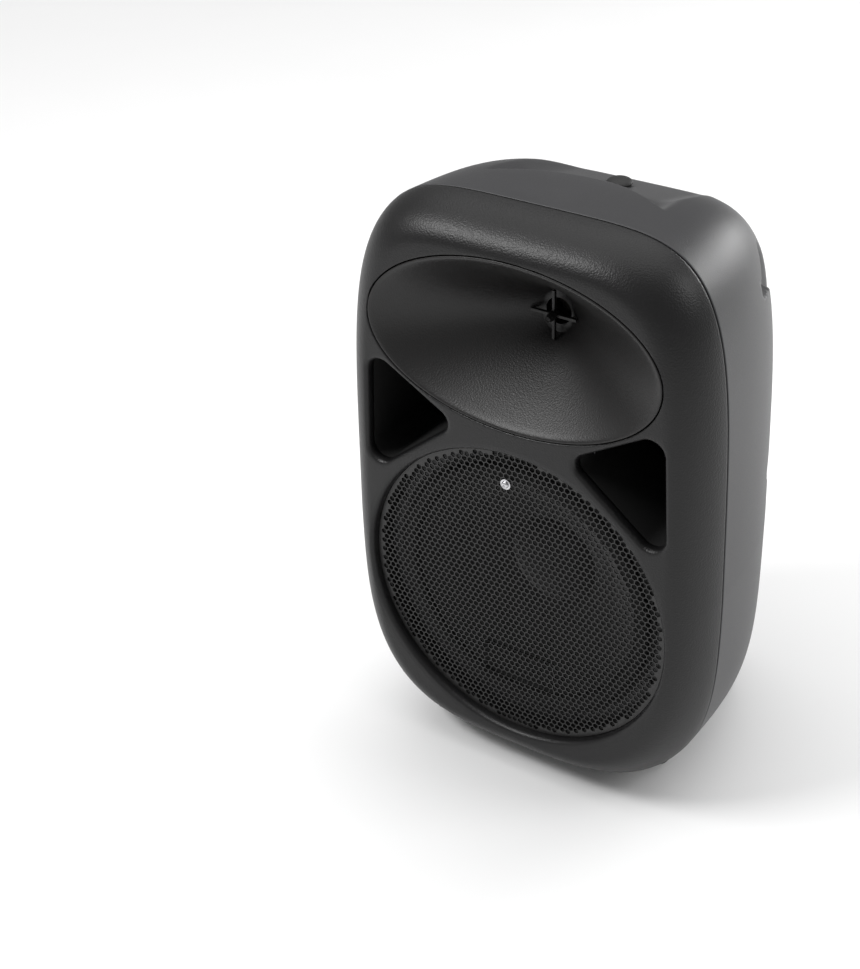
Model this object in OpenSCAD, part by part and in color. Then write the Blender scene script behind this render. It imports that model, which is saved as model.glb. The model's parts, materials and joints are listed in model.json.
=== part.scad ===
// Two-way moulded portable loudspeaker with a twelve inch woofer, an elliptical
// horn and a recessed amplifier panel. Units are millimetres, +Z is up, the
// front faces -Y, and the origin is on the floor under the centre of the box.

/* [Cabinet] */
// Half of the width of the cabinet where its front and rear mouldings meet
half_w = 190; // [150:1:240]
// Height of the widest point of the outline
mid_z = 247.5; // [200:0.5:320]
// Distance from the widest point to the top edge
top_h = 340; // [260:1:420]
// Distance from the widest point to the bottom edge
bot_h = 237.5; // [180:0.5:300]
// Roundness exponent of the upper half of the outline
n_top = 5; // [2:0.1:8]
// Roundness exponent of the lower half of the outline at the seam
n_low = 3.3; // [2:0.1:8]
// How much squarer the lower half becomes towards the back
n_gain = 1.7; // [0:0.1:4]
// Narrowing of the outline towards the top, as a fraction
taper = 0.04; // [0:0.01:0.2]
// Position of the flat front face
front_y = -148; // [-180:1:-120]
// Position of the seam between the mouldings
seam_y = -97; // [-120:1:-60]
// Position of the flat back face
back_y = 148; // [120:1:200]
// Wall thickness of both mouldings
wall = 4; // [2:0.5:8]
// Distance from the widest outline in to the edge of the flat front face
front_in = 33; // [10:1:50]
// Roundness exponent of the front edge
n_front = 1.8; // [1.2:0.1:4]
// Straight part of the inset of the rear moulding at its back
rear_in = 20; // [0:1:60]
// Curved part of the inset of the rear moulding at its back
rear_curve = 80; // [20:1:120]

/* [Drivers] */
// Height of the woofer axis
woofer_z = 207.5; // [180:0.5:260]
// Radius of the opening in front of the woofer
open_r = 157.5; // [120:0.5:200]
// Front face of the woofer mounting ring, measured forward from the middle
seat_h = 118; // [100:1:130]
// Height of the horn axis
horn_z = 472.5; // [400:0.5:520]
// Half width of the horn mouth
horn_a = 144; // [100:1:170]
// Half height of the horn mouth
horn_b = 78.5; // [50:0.5:100]
// Half width of the horn throat
throat_a = 15; // [8:0.5:30]
// Half height of the horn throat
throat_b = 21; // [8:0.5:30]
// Depth of the horn throat, measured forward from the middle
throat_h = 62; // [30:1:90]
// Pitch of the hexagonal holes of the woofer grille
hex_pitch = 20; // [12:0.5:40]
// Width across flats of each hexagonal hole
hex_af = 17; // [8:0.5:36]

/* [Ports] */
// How far the port ducts reach back, measured forward from the middle
duct_h = 45; // [20:1:90]
// Wall thickness of the port ducts
duct_wall = 3; // [2:0.5:5]

/* [Pole socket and feet] */
// Bore radius of the pole socket
pole_r = 18; // [17:0.1:20]
// Bore length of the pole socket
pole_len = 90; // [60:1:120]
// Sideways position of the feet
foot_x = 112; // [80:1:140]
// Radius of a foot
foot_r = 14; // [8:1:20]

/* [Rear panel] */
// Width of the opening for the rear panel
panel_w = 152; // [120:1:160]
// Height of the opening for the rear panel
panel_t = 292; // [200:1:320]
// Height of the middle of the rear panel
panel_z = 262; // [240:1:300]
// Depth of the dish of the rear panel
dish = 22; // [14:1:30]

/* [Hidden] */
$fn = 64;
N = 96;
black = [0.07, 0.07, 0.075];
grey = [0.16, 0.16, 0.17];
steel = [0.72, 0.73, 0.75];
dark_metal = [0.1, 0.1, 0.105];
rubber = [0.04, 0.04, 0.045];
front_h = -front_y;
seam_h = -seam_y;
depth_f = front_h - seam_h;
depth_r = back_y - seam_y;
ring_r = 136;
plane_h = front_h - 6.8;
dish_y = back_y - dish;
socket_y = -10;

// ---------- outline and shells ----------
function spow(v, p) = sign(v) * pow(abs(v), p);
// one outline ring at depth y, inset d at the sides and top, db at the bottom
function ring(y, d, db, nl) = [for (i = [0 : N - 1])
    let (t = 360 * i / N, s = sin(t), up = s >= 0, n = up ? n_top : nl,
        hh = up ? top_h - d : bot_h - db, q = spow(s, 2 / n))
    [(half_w - d) * spow(cos(t), 2 / n) * (up ? 1 - taper * q : 1), y, mid_z + hh * q]];
// inset of the rounded front at a fraction s of its depth, 0 at the seam
function front_d(s) = front_in * (1 - pow(1 - pow(s, n_front), 1 / n_front));
function front_ring(s, in, y) = ring(y, front_d(s) + in, front_d(s) + in, n_low);
// inset of the rear moulding at a fraction s of its depth
function edge_d(y, e) = y < back_y - e ? 0 : e - sqrt(max(0, e * e - pow(y - back_y + e, 2)));
function rear_d(s) = rear_in * s + rear_curve * pow(s, 3.2);
function rear_ring(y, in, e) = let (s = (y - seam_y) / depth_r)
    ring(y, rear_d(s) + edge_d(y, e) + in, 15 * pow(s, 8) + edge_d(y, e) + in, n_low + n_gain * s);

// sweeps a closed skin through a path of rings; caps both ends unless loop is set
module skin(rings, flip = false, loop = false) {
    m = len(rings[0]);
    k = len(rings);
    quads = [for (i = [0 : (loop ? k - 1 : k - 2)], j = [0 : m - 1])
        let (a = i * m, b = ((i + 1) % k) * m, j2 = (j + 1) % m)
        each [[a + j, a + j2, b + j2], [a + j, b + j2, b + j]]];
    caps = loop ? [] : [[for (j = [m - 1 : -1 : 0]) j], [for (j = [0 : m - 1]) (k - 1) * m + j]];
    faces = concat(quads, caps);
    polyhedron([for (r = rings) each r],
        [for (f = faces) flip ? [for (i = [len(f) - 1 : -1 : 0]) f[i]] : f], convexity = 6);
}

fs = [0, 0.2, 0.4, 0.58, 0.72, 0.83, 0.91, 0.965, 1];
module baffle_skin() {
    out = [for (s = fs) front_ring(s, 0, s == 0 ? seam_y - 0.8 : seam_y - depth_f * s)];
    inn = [for (i = [len(fs) - 2 : -1 : 1]) front_ring(fs[i], wall,
        seam_y - 3.8 - (depth_f - wall - 3.8) * pow(fs[i], 1.0))];
    lip = [front_ring(0, wall, seam_y - 3.8), front_ring(0, 16, seam_y - 3.8),
        front_ring(0, 16, seam_y - 0.8)];
    cap = [front_ring(1, 1, front_y + wall)];
    skin(concat(cap, inn, lip, out), flip = true);
}

rs = [0, 30, 60, 90, 115, 140, 160, 180, 198, 214, 226, 235, 240, 243.5, 245];
module rear_skin() {
    out = [for (r = rs) rear_ring(seam_y + max(r, 0.8), 0, 8)];
    inn = [for (i = [10 : -1 : 1]) rear_ring(seam_y + rs[i], wall, 8)];
    lip = [rear_ring(seam_y + 3.8, wall, 8), rear_ring(seam_y + 3.8, 16, 8),
        rear_ring(seam_y + 0.8, 16, 8)];
    cap = [ring(back_y - 6, rear_d(0.975) + wall, 15 * pow(0.975, 8) + wall, n_low + n_gain)];
    skin(concat(cap, inn, lip, out));
}
// the same form as a block, kept just under the outer surface
module rear_solid() {
    skin([for (r = rs) if (r > 50 && r < 240) rear_ring(seam_y + r, 1.3, 8)]);
}

// ---------- helpers ----------
module yc(r, y0, y1, x = 0, z = 0, r2 = -1) {
    translate([x, y0, z]) rotate([-90, 0, 0]) cylinder(h = y1 - y0, r1 = r, r2 = r2 < 0 ? r : r2);
}
// revolves a profile of [radius, forward distance] about a line through x, z
module turned(pts, z, x = 0) {
    translate([x, 0, z]) rotate([90, 0, 0]) rotate_extrude() polygon(pts);
}
module tube_y(ro, ri, h0, h1, z, x = 0) {
    turned([[ri, h0], [ro, h0], [ro, h1], [ri, h1]], z, x);
}
module bar(x0, x1, y0, y1, z0, z1) {
    translate([x0, y0, z0]) cube([x1 - x0, y1 - y0, z1 - z0]);
}
// a rectangle with rounded corners, standing in X and Z, from y0 to y1
module plate_y(w, t, r, y0, y1, z, x = 0) {
    pts = [for (c = [[1, 1, 0], [-1, 1, 90], [-1, -1, 180], [1, -1, 270]], a = [0 : 22.5 : 90])
        [x + c[0] * (w / 2 - r) + r * cos(c[2] + a), z + c[1] * (t / 2 - r) + r * sin(c[2] + a)]];
    translate([0, y1, 0]) rotate([90, 0, 0]) linear_extrude(height = y1 - y0) polygon(pts);
}
module screw_y(x, z, y, dir, r, len, head, ht) {
    // shank from y against dir, pan head towards dir
    yc(r, dir > 0 ? y - len : y, dir > 0 ? y : y + len, x, z);
    translate([x, y, z]) rotate([dir > 0 ? -90 : 90, 0, 0]) difference() {
        cylinder(r1 = head, r2 = head * 0.72, h = ht);
        for (a = [0, 90]) rotate(a) translate([-head * 0.45, -0.45, ht - 1]) cube([head * 0.9, 0.9, 2]);
    }
}
module wire(pts, r) {
    for (i = [0 : len(pts) - 2]) {
        v = pts[i + 1] - pts[i];
        l = norm(v);
        translate(pts[i]) rotate([0, acos(v[2] / l), atan2(v[1], v[0])]) cylinder(r = r, h = l, $fn = 24);
        if (i > 0) translate(pts[i]) sphere(r = r * 1.12, $fn = 24);
    }
}

// ---------- port outline ----------
port_v = [[57.4, 173], [150, 227], [156.5, 92]];
port_c = [12, 14, 14];
// centre of the rounding circle in corner i, grown by g
function unit(v) = v / norm(v);
function corner(i) = let (p = port_v[i], a = unit(port_v[(i + 2) % 3] - p), b = unit(port_v[(i + 1) % 3] - p),
        h = acos(a * b) / 2, m = unit(a + b)) p + m * (port_c[i] / sin(h));
function port_pts(g, side) = [for (i = [0, 1, 2])
    let (p = port_v[i], a = unit(port_v[(i + 2) % 3] - p), b = unit(port_v[(i + 1) % 3] - p),
        c = corner(i), na = [a[1], -a[0]], nb = [-b[1], b[0]],
        a0 = atan2(na[1], na[0]), a1 = atan2(nb[1], nb[0]),
        sw = a1 - a0 > 180 ? a1 - a0 - 360 : (a1 - a0 < -180 ? a1 - a0 + 360 : a1 - a0))
    for (k = [0 : 6]) let (t = a0 + sw * k / 6)
        [side * (c[0] + (port_c[i] + g) * cos(t)), woofer_z + c[1] + (port_c[i] + g) * sin(t)]];
module port_prism(g, side, h0, h1) {
    translate([0, -h0, 0]) rotate([90, 0, 0]) linear_extrude(height = h1 - h0)
        polygon(port_pts(g, side));
}

// ---------- front moulding ----------
module front_baffle() color(black) difference() {
    union() {
        difference() {
            baffle_skin();
            turned([[0, 130], [open_r, 130],
                for (a = [0 : 15 : 90]) [open_r + 6 * (1 - cos(a)), plane_h + 6.8 * sin(a)],
                [open_r + 6, front_h + 1], [0, front_h + 1]], woofer_z);
            translate([0, -130, horn_z]) rotate([90, 0, 0]) linear_extrude(height = 30)
                polygon([for (i = [0 : 63])
                    [(horn_a + 3.4) * cos(i * 5.625), (horn_b + 3.4) * sin(i * 5.625)]]);
            for (s = [-1, 1]) port_prism(0, s, 130, front_h + 1);
        }
        // collar behind the opening, stepped to hold the grille, with the woofer seat
        turned([[ring_r, seat_h - 6], [open_r + 4, seat_h - 6], [open_r + 4, front_h - 3.4],
            [open_r, front_h - 3.4], [open_r, 136.6], [open_r - 4, 136.6], [open_r - 4, seat_h],
            [ring_r, seat_h]], woofer_z);
    }
    for (a = [22.5 : 45 : 359]) yc(2.5, -seat_h - 1, -seat_h + 7, 145.5 * cos(a), woofer_z + 145.5 * sin(a));
    for (p = case_pts) yc(2.1, seam_y - 5, seam_y, p[0], p[2]);
}
case_pts = [for (i = [3, 17, 31, 45, 53, 66, 78, 91]) ring(0, 10, 10, n_low)[i]];

// ---------- rear moulding ----------
grip_x = 130;
grip_out = [[14, 497], [44, 524], [123, 524], [123, 270], [84, 270], [40, 302], [59, 320], [59, 485]];
module grip_prism(side, x0, grow) {
    c = [80, 397];
    pts = [for (p = grip_out) [p[0] + (p[0] > c[0] ? grow : -grow), p[1] + (p[1] > c[1] ? grow : -grow)]];
    translate([side > 0 ? x0 : -x0 - 80, 0, 0]) rotate([90, 0, 90]) linear_extrude(height = 80) polygon(pts);
}
// shallow channel in the top: its floor slopes down to the back, its sides are
// ramps, and its front lip bows back in the middle; grown down and out for its wall
module top_channel(down, out) intersection() {
    translate([0, 0, 566 - down]) rotate([-16.5, 0, 0]) rotate([90, 0, 0]) translate([0, 0, -170])
        linear_extrude(height = 200) polygon([[-56 - out, 0], [56 + out, 0], [74 + out, 3], [92 + out, 14],
            [110 + out, 40], [-110 - out, 40], [-92 - out, 14], [-74 - out, 3]]);
    translate([0, 0, 480]) linear_extrude(height = 120) polygon(concat([[150, 200], [-150, 200]],
        [for (x = [-119 : 17 : 119]) [x, -11 - out + 22 * pow(cos(min(90, abs(x))), 2)]]));
}
module rear_shell() color(grey) difference() {
    union() {
        rear_skin();
        intersection() {
            rear_solid();
            union() {
                for (s = [-1, 1]) grip_prism(s, grip_x - 3, 3);
                top_channel(4, 4);
                translate([0, 44, 522]) cylinder(r = 16, h = 60);
            }
        }
        yc(12, back_y - 22, back_y - 4, 0, 446);
        for (x = [-foot_x, foot_x]) {
            translate([x, -56, 8.3]) cylinder(r1 = 17, r2 = 20, h = 18);
            translate([x, 80, 8.3]) cylinder(r1 = 17, r2 = 20, h = 24);
        }
    }
    for (s = [-1, 1]) grip_prism(s, grip_x, 0);
    top_channel(0, 0);
    translate([0, 44, 500]) cylinder(r = 8.3, h = 90);
    translate([0, 44, 552.2]) cylinder(r = 14.5, h = 40);
    plate_y(panel_w, panel_t, 10, back_y - 3, back_y + 1, panel_z);
    plate_y(panel_w - 18, panel_t - 18, 8, back_y - 20, back_y + 1, panel_z);
    for (p = panel_pts) yc(1.9, back_y - 12, back_y, p[0], p[1]);
    yc(7.3, back_y - 20, back_y + 1, 0, 446);
    translate([0, socket_y, -1]) cylinder(r = 21.6, h = 40);
    for (a = [45 : 90 : 359]) translate([27 * cos(a), socket_y + 27 * sin(a), 0]) cylinder(r = 1.8, h = 22);
    for (x = [-foot_x, foot_x], y = [-56, 80]) translate([x, y, 8]) cylinder(r = 2.2, h = 14);
    for (p = case_pts) yc(2.1, seam_y, seam_y + 5, p[0], p[2]);
}
panel_pts = [for (s = [-1, 1], z = [-138, -46, 46, 138]) [s * 71.3, panel_z + z]];

module seam_gasket() color(rubber) difference() {
    translate([0, seam_y + 0.6, 0]) rotate([90, 0, 0]) linear_extrude(height = 1.2) polygon(
        concat([for (p = ring(0, 2, 2, n_low)) [p[0], p[2]]],
            [for (p = ring(0, 15.6, 15.6, n_low)) [p[0], p[2]]]),
        [[for (i = [0 : N - 1]) i], [for (i = [0 : N - 1]) N + i]]);
    for (p = case_pts) yc(2.1, seam_y - 5, seam_y + 5, p[0], p[2]);
}
module case_screws() color(dark_metal)
    for (p = case_pts) screw_y(p[0], p[2], seam_y + 4, 1, 1.8, 12, 3.6, 2.4);

// ---------- horn ----------
hs = [0, 0.08, 0.18, 0.3, 0.45, 0.6, 0.75, 0.88, 1];
function flare(u, g) = let (f = pow(1 - u, 1.5))
    [throat_a + (horn_a - throat_a) * (0.82 * (1 - u) + 0.18 * f) + g,
     throat_b + (horn_b - throat_b) * (0.72 * (1 - u) + 0.28 * f) + g];
function horn_ring(u, g, h) = let (e = flare(u, g)) [for (i = [0 : 63]) let (t = 360 * i / 64)
    [e[0] * cos(t), -h, horn_z + e[1] * sin(t)]];
module horn() color(black) difference() {
    union() {
        skin(concat([for (u = hs) horn_ring(u, 0, front_h - 0.2 - (front_h - 0.2 - throat_h) * u)],
            [for (i = [len(hs) - 1 : -1 : 0])
                horn_ring(hs[i], 3, front_h - 0.2 - (front_h - 0.2 - throat_h) * hs[i])]),
            flip = true, loop = true);
        tube_y(46, 24, throat_h, throat_h + 6, horn_z);
    }
    for (a = [45 : 90 : 359]) yc(2.6, -throat_h - 7, -throat_h + 1, 38 * cos(a), horn_z + 38 * sin(a));
}
module phase_plug() color(dark_metal) {
    turned([[0, 68], [4.2, 68], [4.2, 74], [3.6, 78], [2.4, 81.4], [0, 83]], horn_z);
    bar(-22.8, 22.8, -72, -68.5, horn_z - 1.2, horn_z + 1.2);
    bar(-1.2, 1.2, -72, -68.5, horn_z - 23.8, horn_z + 23.8);
}
module driver_plate() color(steel) difference() {
    tube_y(50, 13, 50, 61.7, horn_z);
    for (a = [45 : 90 : 359]) yc(2.6, -62, -49, 38 * cos(a), horn_z + 38 * sin(a));
}
module driver_bolts() color(dark_metal)
    for (a = [45 : 90 : 359]) screw_y(38 * cos(a), horn_z + 38 * sin(a), -69.2 + 0.9, -1, 2.3, 17, 4.4, 3);
module hf_magnet() color(dark_metal) tube_y(55, 27, 18, 49.7, horn_z);
module hf_diaphragm() color([0.55, 0.56, 0.6])
    turned([for (a = [0 : 9 : 63]) [24.4 * sin(a), 16 + 24.4 * cos(a)],
        [26.92, 26.8], [26.92, 27.9], for (a = [63 : -9 : 0]) [25 * sin(a), 16.6 + 25 * cos(a)]], horn_z);
module hf_cover() color(black)
    turned([[0, 4], [46, 4], [50, 7], [50, 17.7], [46, 17.7], [46, 8], [0, 8]], horn_z);

// ---------- woofer ----------
module grille() color(dark_metal) {
    rr = open_r - 0.4;
    M = 96;
    rim = [for (i = [0 : M - 1]) [rr * cos(360 * i / M), rr * sin(360 * i / M)]];
    nx = ceil(rr / hex_pitch) + 1;
    cells = [for (j = [-nx - 2 : nx + 2], i = [-nx : nx])
        let (x = (i + (abs(j) % 2) / 2) * hex_pitch, z = j * hex_pitch * sqrt(3) / 2)
        if (norm([x, z]) < rr - 12 && !(abs(x) < 36 + 6 && abs(z + 82) < 16 + 6)) [x, z]];
    hr = hex_af / sqrt(3);
    pts = concat(rim, [for (c = cells, k = [0 : 5]) c + hr * [cos(60 * k + 30), sin(60 * k + 30)]]);
    paths = concat([[for (i = [0 : M - 1]) i]],
        [for (q = [0 : len(cells) - 1]) [for (k = [0 : 5]) M + 6 * q + k]]);
    translate([0, -136.7, woofer_z]) rotate([90, 0, 0]) linear_extrude(height = 1.5) polygon(pts, paths);
}
module grille_ring() color(rubber) tube_y(153.3, 150.4, 122.6, 136.5, woofer_z);
module grille_screw() color(steel) {
    gx = -hex_pitch / 2;
    gz = woofer_z + hex_pitch * 3.5 * sqrt(3);
    screw_y(gx, gz, -139.4, -1, 1.9, 7, 4, 2.2);
    // washer that spans one hole of the grille
    difference() {
        yc(hex_af / sqrt(3) + 0.8, -139.3, -138.4, gx, gz);
        yc(1.95, -140, -138, gx, gz);
    }
}
module port_duct(side) difference() {
    port_prism(duct_wall, side, duct_h, front_h - wall - 1.4);
    port_prism(0, side, duct_h - 1, front_h);
}
module port_duct_left() color(black) port_duct(-1);
module port_duct_right() color(black) port_duct(1);

sh = seat_h + 0.3;
module woofer_basket() color(dark_metal) difference() {
    turned([[151.5, sh], [151.5, sh + 4], [133, sh + 4], [129, sh - 2], [69.5, 40], [69.5, 22],
        [36, 22], [36, 18.2], [78, 18.2], [78, 38.5], [134.5, sh]], woofer_z);
    for (a = [30 : 60 : 359]) translate([0, 0, woofer_z]) rotate([0, a, 0])
        bar(-24, 24, -sh + 10, -46, 60, 140);
    for (a = [22.5 : 45 : 359]) yc(2.6, -sh - 5, -sh + 1, 145.5 * cos(a), woofer_z + 145.5 * sin(a));
}
module woofer_screws() color(dark_metal)
    for (a = [22.5 : 45 : 359])
        screw_y(145.5 * cos(a), woofer_z + 145.5 * sin(a), -sh - 4.2, -1, 2.2, 16, 4.4, 2.6);
module woofer_surround() color(rubber)
    turned(concat([[139.5, sh + 4.3]], [for (a = [0 : 15 : 180]) [126.4 + 7 * cos(a), sh + 4.3 + 7 * sin(a)]],
        [[118.2, sh + 4.3], [118.2, sh + 5.3]],
        [for (a = [180 : -15 : 0]) [126.4 + 8 * cos(a), sh + 5.3 + 8 * sin(a)]],
        [[139.5, sh + 5.3]]), woofer_z);
module woofer_cone() color([0.1, 0.1, 0.1])
    turned([[34, 62], [36, 60.5], [80, 88], [117.8, sh + 4], [117.8, sh + 5.4], [79, 89.6]], woofer_z);
module dust_cap() color([0.08, 0.08, 0.08])
    turned([for (a = [0 : 5 : 45]) [64 * sin(a), 24.3 + 64 * cos(a)],
        for (a = [45 : -5 : 0]) [62.8 * sin(a), 24.3 + 62.8 * cos(a)]],
        woofer_z);
module voice_coil() color([0.72, 0.45, 0.2]) tube_y(33.8, 32.4, 4, 60, woofer_z);
module spider() color([0.55, 0.42, 0.25])
    turned([[34.2, 44], [40, 46], [46, 42], [52, 46], [58, 42], [64, 46], [69.2, 44], [69.2, 44.8], [64, 46.8],
        [58, 42.8], [52, 46.8], [46, 42.8], [40, 46.8], [34.2, 44.8]], woofer_z);
module top_plate() color(steel) tube_y(72, 35, 10, 18, woofer_z);
module magnet() color([0.2, 0.2, 0.21]) tube_y(78, 44, -12, 9.8, woofer_z);
module pole_piece() color(steel)
    turned([[0, -20], [74, -20], [74, -12.2], [31.4, -12.2], [31.4, 17], [12, 17], [12, -12], [0, -12]], woofer_z);

// ---------- rigging, pole socket, feet ----------
module top_insert() color([0.75, 0.6, 0.3]) translate([0, 44, 527]) difference() {
    cylinder(r = 8, h = 24);
    translate([0, 0, 3]) cylinder(r = 4.25, h = 30);
}
module top_cap() color(black) {
    // domed cap with a stem that plugs the insert
    translate([0, 44, 0]) rotate_extrude() polygon([[0, 538], [4, 538], [4, 552.9], [12, 552.9], [12, 554.6],
        for (a = [80 : -16 : 0]) [12 * sin(a), 554.6 + 4.4 * cos(a)]]);
}
module safety_insert() color([0.75, 0.6, 0.3]) difference() {
    yc(7, back_y - 18, back_y - 0.5, 0, 446);
    yc(3.4, back_y - 15, back_y + 1, 0, 446);
}
module pole_socket() color(black) translate([0, socket_y, 0]) difference() {
    union() {
        cylinder(r = 21.2, h = pole_len + 10);
        translate([0, 0, 6]) cylinder(r = 32, h = 3.6);
    }
    translate([0, 0, -1]) cylinder(r = 60, h = 7);
    translate([0, 0, 5]) cylinder(r = pole_r, h = pole_len + 1);
    for (a = [45 : 90 : 359]) translate([27 * cos(a), 27 * sin(a), 0]) cylinder(r = 2, h = 12);
}
module socket_screws() color(dark_metal) for (a = [45 : 90 : 359])
    translate([27 * cos(a), socket_y + 27 * sin(a), 5.8]) {
        cylinder(r = 1.6, h = 15);
        translate([0, 0, -2]) cylinder(r1 = 2.6, r2 = 3.4, h = 2);
    }
module feet() color(rubber) for (x = [-foot_x, foot_x], y = [-56, 80]) translate([x, y, 0]) {
    difference() {
        cylinder(r1 = foot_r - 1, r2 = foot_r + 2, h = 8);
        translate([0, 0, -1]) cylinder(r = 5, h = 4);
    }
    translate([0, 0, 7]) cylinder(r = 2, h = 13);
}
module damping_pads() color([0.32, 0.32, 0.34]) for (s = [-1, 1])
    bar(s > 0 ? 143 : -154, s > 0 ? 154 : -143, -40, 32, 112, 262);

// ---------- rear panel and what is on it ----------
knob_z = 372;
module rear_panel() color(black) difference() {
    union() {
        plate_y(panel_w - 0.6, panel_t - 0.6, 9.7, back_y - 2.8, back_y - 0.4, panel_z);
        plate_y(panel_w - 19, panel_t - 19, 7.5, dish_y - 2, back_y - 0.5, panel_z);
    }
    plate_y(panel_w - 23, panel_t - 23, 6, dish_y, back_y + 1, panel_z);
    for (p = panel_pts) yc(1.9, back_y - 4, back_y + 1, p[0], p[1]);
    for (x = [-40, 0, 40]) yc(3.05, dish_y - 3, dish_y + 1, x, knob_z);
    for (x = [-32, 32]) yc(12.2, dish_y - 3, dish_y + 1, x, 312);
    bar(-4.1, 4.1, dish_y - 3, dish_y + 1, 339.9, 344.1);
    yc(2.6, dish_y - 3, dish_y + 1, 30, 342);
    bar(-46.2, -17.8, dish_y - 3, dish_y + 1, 143.8, 166.2);
    bar(20.2, 39.8, dish_y - 3, dish_y + 1, 139.8, 170.2);
    // cooling slots
    for (x = [-42 : 12 : 42]) bar(x - 2, x + 2, dish_y - 3, dish_y + 1, 205, 265);
}
module panel_screws() color(dark_metal)
    for (p = panel_pts) screw_y(p[0], p[1], back_y - 0.2, 1, 1.6, 10, 3.4, 2);
module amp_board() color([0.1, 0.32, 0.14]) difference() {
    bar(-56, 56, 94, 95.6, 190, 384);
    for (x = [-50, 50], z = [196, 378]) yc(1.7, 93, 97, x, z);
}
module board_parts() color([0.2, 0.2, 0.22]) {
    for (x = [-30, -8], z = [286, 310]) yc(9.5, 62, 93.8, x, z);
    for (x = [18, 36]) yc(6, 70, 93.8, x, 298);
    for (z = [336, 356]) bar(-20, 20, 82, 93.8, z - 6, z + 6);
    // spacers that carry the board
    for (x = [-50, 50], z = [196, 378]) {
        yc(3.4, 95.8, dish_y - 2.2, x, z);
        yc(1.5, 91, 95.9, x, z);
        yc(3, 90, 93.8, x, z);
    }
}
module heatsink() color([0.75, 0.76, 0.78]) {
    bar(-46, 46, 88, 93.8, 202, 262);
    for (x = [-46 : 11.2 : 46]) bar(x, x + 2.4, 60, 88.5, 202, 262);
}
module transformer() color([0.6, 0.3, 0.1]) {
    turned([for (a = [0 : 20 : 359]) [25 + 11 * cos(a), -70 + 17 * sin(a)]], 148);
    // mounting bolt and dished washers
    yc(6, 49, dish_y - 2.2, 0, 148);
    yc(24, 49, 52.8, 0, 148);
    yc(24, 87.2, 90, 0, 148);
}
module wiring() color([0.6, 0.1, 0.1]) {
    wire([[-50, 92, 275], [-60, 60, 300], [-90, -40, 300], [-78, -52, 252]], 1.6);
    wire([[44, 92, 326], [46, 70, 400], [54, 10, 440], [53, -12, 466]], 1.6);
}
module mains_inlet() color(black) {
    for (x = [-39, -32, -25]) bar(x - 0.8, x + 0.8, dish_y - 16.5, dish_y - 4, 155, 160);
    difference() {
        union() {
            bar(-46, -18, dish_y - 22, dish_y - 0.2, 144, 166);
            bar(-50, -14, dish_y + 0.2, dish_y + 2.6, 140, 170);
            bar(-46, -18, dish_y - 0.5, dish_y + 0.5, 144, 166);
        }
        bar(-44, -20, dish_y - 16, dish_y + 4, 151.5, 164);
        bar(-42.1, -21.9, dish_y - 20.1, dish_y + 4, 144.9, 150.1);
    }
}
module fuse_drawer() color(grey) {
    bar(-42, -22, dish_y - 19.8, dish_y + 3.2, 145, 150);
    bar(-36, -28, dish_y + 3, dish_y + 4.4, 146, 147.4);
}
module switch_frame() color(black) difference() {
    union() {
        bar(20.4, 39.6, dish_y - 16, dish_y + 0.4, 140, 170);
        bar(18, 42, dish_y + 0.2, dish_y + 2, 137, 173);
    }
    bar(23.2, 36.8, dish_y - 14, dish_y + 4, 142.4, 167.6);
    // seats for the rocker's pins
    translate([21.6, dish_y - 2, 155]) rotate([0, 90, 0]) cylinder(r = 1.35, h = 16.8);
}
module power_rocker() color([0.5, 0.06, 0.05]) translate([23.5, dish_y - 2, 155]) {
    rotate([90, 0, 90]) linear_extrude(height = 13)
        polygon([[0, -9], [6, -9.5], [4.2, 0], [8.6, 9.5], [0, 9], [-3, 0]]);
    // pins that it tilts on
    translate([-1.3, 0, 0]) rotate([0, 90, 0]) cylinder(r = 1.2, h = 15.6);
}
module mic_socket() color(steel) difference() {
    union() {
        yc(12, dish_y - 20, dish_y + 0.5, -32, 312);
        plate_y(26, 31, 3, dish_y + 0.2, dish_y + 2.4, 312, -32);
    }
    yc(9.6, dish_y - 14, dish_y + 4, -32, 312);
    bar(-35.1, -28.9, dish_y - 8, dish_y + 4, 319.9, 323.1);
}
module mic_latch() color(dark_metal) {
    bar(-35, -29, dish_y - 6, dish_y + 4, 320, 323);
}
module link_plug() color(steel) difference() {
    union() {
        yc(12, dish_y - 16, dish_y + 0.5, 32, 312);
        plate_y(26, 31, 3, dish_y + 0.2, dish_y + 2.4, 312, 32);
    }
    difference() {
        yc(9.6, dish_y - 12, dish_y + 4, 32, 312);
        for (a = [90, 210, 330]) yc(1.2, dish_y - 13, dish_y + 0.5, 32 + 5.4 * cos(a), 312 + 5.4 * sin(a));
    }
}
module level_pots() color([0.3, 0.31, 0.33]) for (x = [-40, 0, 40]) difference() {
    bar(x - 6, x + 6, dish_y - 12, dish_y - 2.3, knob_z - 9, knob_z + 9);
    yc(3.05, dish_y - 9, dish_y - 2, x, knob_z);
}
module knob(x) {
    yc(3, dish_y - 8.5, dish_y + 1, x, knob_z);
    difference() {
        union() {
            yc(8.5, dish_y + 0.6, dish_y + 3.6, x, knob_z);
            yc(7.2, dish_y + 3.5, dish_y + 13, x, knob_z, 6.2);
        }
        for (a = [0 : 30 : 359]) yc(0.9, dish_y + 4.5, dish_y + 14, x + 7.3 * cos(a), knob_z + 7.3 * sin(a));
        bar(x - 0.5, x + 0.5, dish_y + 12.2, dish_y + 14, knob_z + 1, knob_z + 9);
    }
}
module level_knob() color(grey) knob(-40);
module bass_knob() color(grey) knob(0);
module treble_knob() color(grey) knob(40);
module mode_switch() color([0.3, 0.31, 0.33]) difference() {
    bar(-7, 7, dish_y - 14, dish_y - 2.3, 336, 348);
    bar(-4.1, 4.1, dish_y - 11, dish_y, 339.9, 344.1);
}
module mode_button() color(grey) bar(-4, 4, dish_y - 8, dish_y + 4, 340, 344);
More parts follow.
